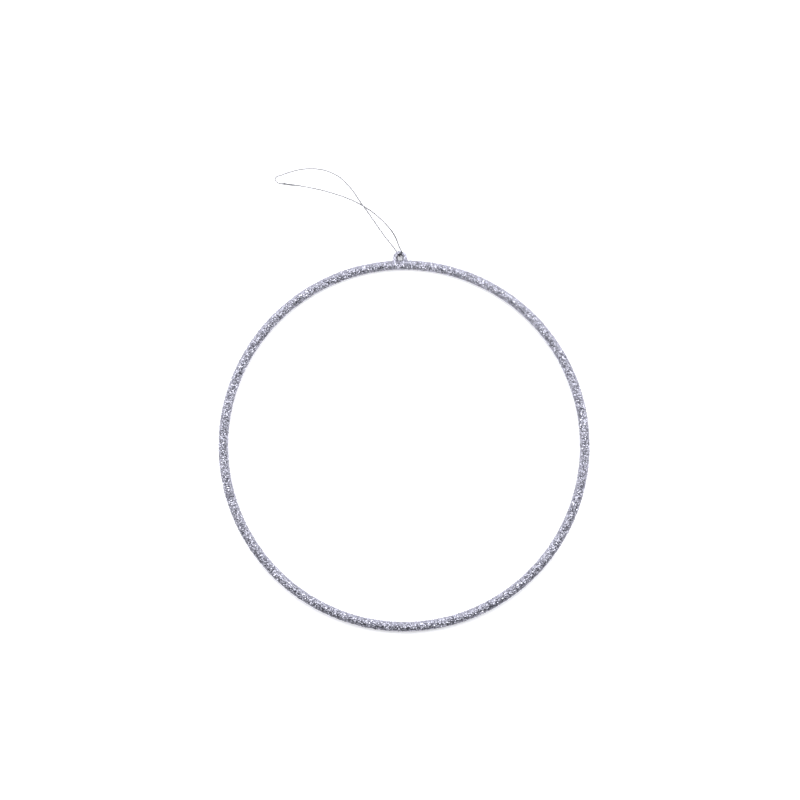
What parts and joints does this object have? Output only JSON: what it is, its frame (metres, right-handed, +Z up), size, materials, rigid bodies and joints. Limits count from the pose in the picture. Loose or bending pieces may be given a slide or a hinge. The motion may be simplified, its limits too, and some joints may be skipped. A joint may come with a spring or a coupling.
{
  "type": "wreath frame",
  "caption": "Slim round wreath hoop with a glittered finish, a small hanging eye on its rim and a loop of fine metallic thread through it.",
  "frame": {"origin": "on the surface the hoop lies on, under the middle of the box round the hoop and its eye", "axes": "+Y from the hoop's centre to the hanging eye, +Z up from the surface, +X to the right"},
  "size_m": [0.1996, 0.2509, 0.0048],
  "materials": {
    "steel": "bare drawn steel",
    "weld_metal": "dull weld metal",
    "silver_glitter": "silver glitter flakes in clear lacquer",
    "silver_thread": "twisted metallic yarn"
  },
  "bodies": {
    "hoop": {"hoop_rod": "steel", "butt_weld": "weld_metal", "eye_wire": "steel", "eye_weld_left": "weld_metal", "eye_weld_right": "weld_metal", "hoop_glitter_coat": "silver_glitter", "eye_glitter_coat": "silver_glitter"},
    "bight": {"thread_bight": "silver_thread"},
    "loop": {"thread_loop": "silver_thread", "thread_knot": "silver_thread"}
  },
  "joints": [
    {"name": "loop_swing", "type": "hinge", "parent": "hoop", "child": "bight", "pos_m": [0, 0.09882, 0.00242], "axis": [0, 0, 1], "range_deg": [-85, 40]},
    {"name": "loop_lift", "type": "hinge", "parent": "bight", "child": "loop", "pos_m": [-0.005, 0.11048, 0.0006], "axis": [0.8354, 0.5496, 0], "range_deg": [0, 140]}
  ]
}
